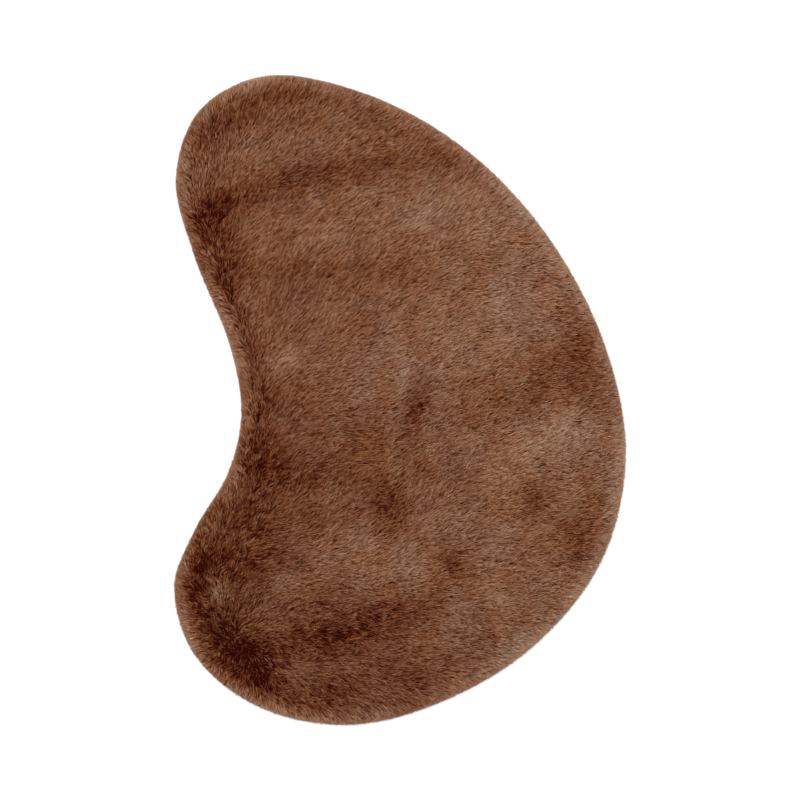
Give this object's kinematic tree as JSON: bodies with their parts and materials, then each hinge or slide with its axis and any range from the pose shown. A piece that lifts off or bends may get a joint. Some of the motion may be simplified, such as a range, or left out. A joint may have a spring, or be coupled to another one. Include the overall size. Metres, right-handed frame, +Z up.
{
  "type": "kidney-shaped faux fur rug",
  "caption": "Flat faux fur rug in a rounded kidney shape, with a long soft pile that lies over at its rim.",
  "frame": {"origin": "on the floor, under the middle of the rug's bounding box", "axes": "+Z up out of the pile, +Y along the rug towards its narrow lobe, +X across it, away from the bay in its side"},
  "size_m": [0.904, 1.3, 0.0286],
  "materials": {
    "fur_pile": "long soft faux fur, brown with lighter tips"
  },
  "bodies": {
    "root": {"fur_rug": "fur_pile"}
  },
  "joints": []
}
